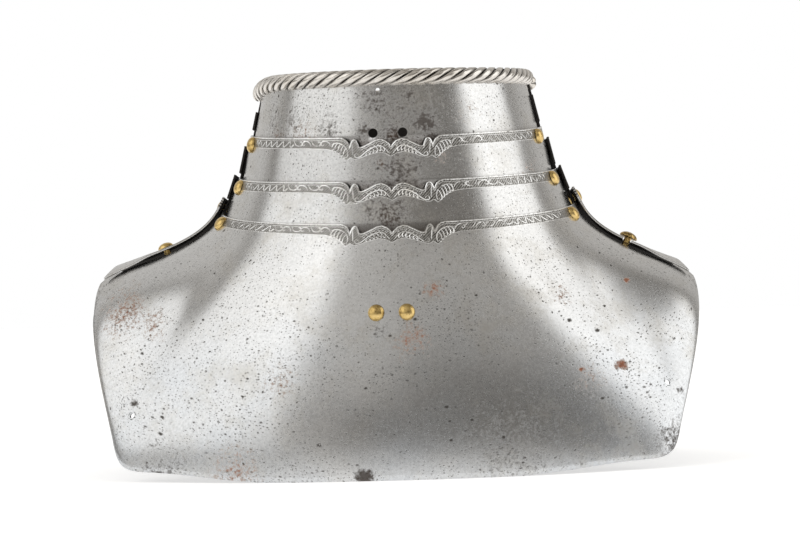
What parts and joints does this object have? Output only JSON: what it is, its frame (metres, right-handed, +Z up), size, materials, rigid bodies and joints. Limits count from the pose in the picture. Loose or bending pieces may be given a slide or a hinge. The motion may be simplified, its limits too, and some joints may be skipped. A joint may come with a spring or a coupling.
{
  "type": "steel gorget",
  "caption": "Hinged steel neck guard with roped rims, riveted sliding lames with etched borders, and shoulder-covering front and back plates.",
  "frame": {"origin": "centre of the bounding box in plan, on the plane the lower edges stand on", "axes": "+Z up the neck, -Y ahead of the wearer, +X to the wearer's left"},
  "size_m": [0.323, 0.248, 0.2117],
  "materials": {
    "steel": "old polished steel plate with fine pitting and light rust stains",
    "brass": "worn domed rivet heads"
  },
  "bodies": {
    "front_plate": {"front_plate": "steel", "chest_rivet_left": "brass", "chest_rivet_right": "brass", "front_lower_lame_rivet_left": "brass", "front_lower_lame_rivet_right": "brass", "shoulder_pivot": "brass", "shoulder_stud": "brass"},
    "front_lower_lame": {"front_lower_lame": "steel", "front_upper_lame_rivet_left": "brass", "front_upper_lame_rivet_right": "brass"},
    "front_upper_lame": {"front_upper_lame": "steel", "front_collar_rivet_left": "brass", "front_collar_rivet_right": "brass"},
    "front_collar": {"front_collar": "steel"},
    "back_plate": {"back_plate": "steel", "back_lower_lame_rivet_left": "brass", "back_lower_lame_rivet_right": "brass"},
    "back_lower_lame": {"back_lower_lame": "steel", "back_upper_lame_rivet_left": "brass", "back_upper_lame_rivet_right": "brass"},
    "back_upper_lame": {"back_upper_lame": "steel", "back_collar_rivet_left": "brass", "back_collar_rivet_right": "brass"},
    "back_collar": {"back_collar": "steel"}
  },
  "joints": [
    {"name": "front_lower_lame_rock", "type": "hinge", "parent": "front_plate", "child": "front_lower_lame", "pos_m": [0.00194, -0.0261, 0.13247], "axis": [-1, 0, 0], "range_deg": [0, 3]},
    {"name": "front_upper_lame_rock", "type": "hinge", "parent": "front_lower_lame", "child": "front_upper_lame", "pos_m": [0.0022, -0.02405, 0.15176], "axis": [-1, 0, 0], "range_deg": [0, 3]},
    {"name": "front_collar_rock", "type": "hinge", "parent": "front_upper_lame", "child": "front_collar", "pos_m": [0.0022, -0.0227, 0.17445], "axis": [-1, 0, 0], "range_deg": [0, 3]},
    {"name": "back_lower_lame_rock", "type": "hinge", "parent": "back_plate", "child": "back_lower_lame", "pos_m": [0.0022, 0.01279, 0.14241], "axis": [1, 0, 0], "range_deg": [0, 3]},
    {"name": "back_upper_lame_rock", "type": "hinge", "parent": "back_lower_lame", "child": "back_upper_lame", "pos_m": [0.0022, 0.02988, 0.15267], "axis": [1, 0, 0], "range_deg": [0, 3]},
    {"name": "back_collar_rock", "type": "hinge", "parent": "back_upper_lame", "child": "back_collar", "pos_m": [0.0022, 0.0309, 0.16896], "axis": [1, 0, 0], "range_deg": [0, 3]},
    {"name": "shoulder_hinge", "type": "hinge", "parent": "front_plate", "child": "back_plate", "pos_m": [-0.12519, 0.00036, 0.12054], "axis": [-0.3125, 0.0941, 0.9453], "range_deg": [0, 35]}
  ]
}
